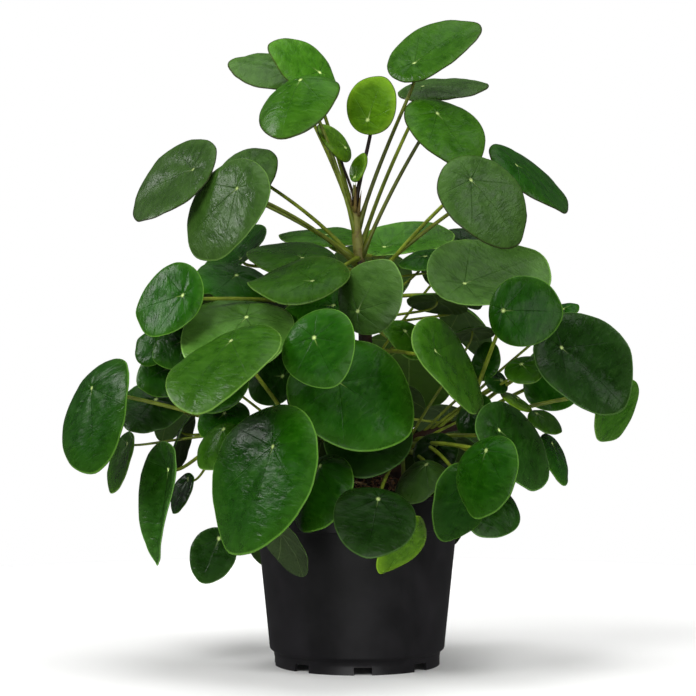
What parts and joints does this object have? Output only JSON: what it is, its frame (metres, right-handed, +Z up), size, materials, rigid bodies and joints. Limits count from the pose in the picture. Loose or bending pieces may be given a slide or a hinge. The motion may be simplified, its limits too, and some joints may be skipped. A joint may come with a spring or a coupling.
{
  "type": "potted chinese money plant",
  "caption": "Bushy Chinese money plant with round leaves on long stalks, in a round black nursery pot.",
  "frame": {"origin": "middle of the pot's base, on the plane it rests on", "axes": "+Z up along the pot's axis, -Y towards the plant's best side"},
  "size_m": [0.4195, 0.327, 0.4742],
  "materials": {
    "pot_black": "satin moulded plastic",
    "soil_brown": "loose crumbly peat soil, dull",
    "bark": "rough dry bark",
    "stalk_green": "smooth fleshy green stalk, slightly glossy",
    "leaf_green": "waxy leaf with a soft sheen and fine crinkles"
  },
  "bodies": {
    "root": {"pot": "pot_black", "soil": "soil_brown", "bark_chip": "bark", "main_stem": "stalk_green", "left_stem": "stalk_green", "right_stem": "stalk_green", "back_stem": "stalk_green", "leaf_top_1": "leaf_green", "leaf_top_2": "leaf_green", "leaf_top_3": "leaf_green", "leaf_top_4": "leaf_green", "leaf_top_5": "leaf_green", "leaf_top_6": "leaf_green", "leaf_top_7": "leaf_green", "leaf_top_8": "leaf_green", "leaf_top_9": "leaf_green", "leaf_left_1": "leaf_green", "leaf_left_2": "leaf_green", "leaf_left_3": "leaf_green", "leaf_left_4": "leaf_green", "leaf_left_5": "leaf_green", "leaf_left_6": "leaf_green", "leaf_left_7": "leaf_green", "leaf_left_8": "leaf_green", "leaf_left_9": "leaf_green", "leaf_left_10": "leaf_green", "leaf_left_11": "leaf_green", "leaf_left_12": "leaf_green", "leaf_left_13": "leaf_green", "leaf_left_14": "leaf_green", "leaf_front_1": "leaf_green", "leaf_front_2": "leaf_green", "leaf_front_3": "leaf_green", "leaf_front_4": "leaf_green", "leaf_front_5": "leaf_green", "leaf_front_6": "leaf_green", "leaf_front_7": "leaf_green", "leaf_front_8": "leaf_green", "leaf_front_9": "leaf_green", "leaf_front_10": "leaf_green", "leaf_front_11": "leaf_green", "leaf_right_1": "leaf_green", "leaf_right_2": "leaf_green", "leaf_right_3": "leaf_green", "leaf_right_4": "leaf_green", "leaf_right_5": "leaf_green", "leaf_right_6": "leaf_green", "leaf_right_7": "leaf_green", "leaf_right_8": "leaf_green", "leaf_right_9": "leaf_green", "leaf_right_10": "leaf_green", "leaf_right_11": "leaf_green", "leaf_right_12": "leaf_green", "leaf_back_1": "leaf_green", "leaf_back_2": "leaf_green", "leaf_back_3": "leaf_green", "leaf_back_4": "leaf_green", "leaf_back_5": "leaf_green"}
  },
  "joints": []
}
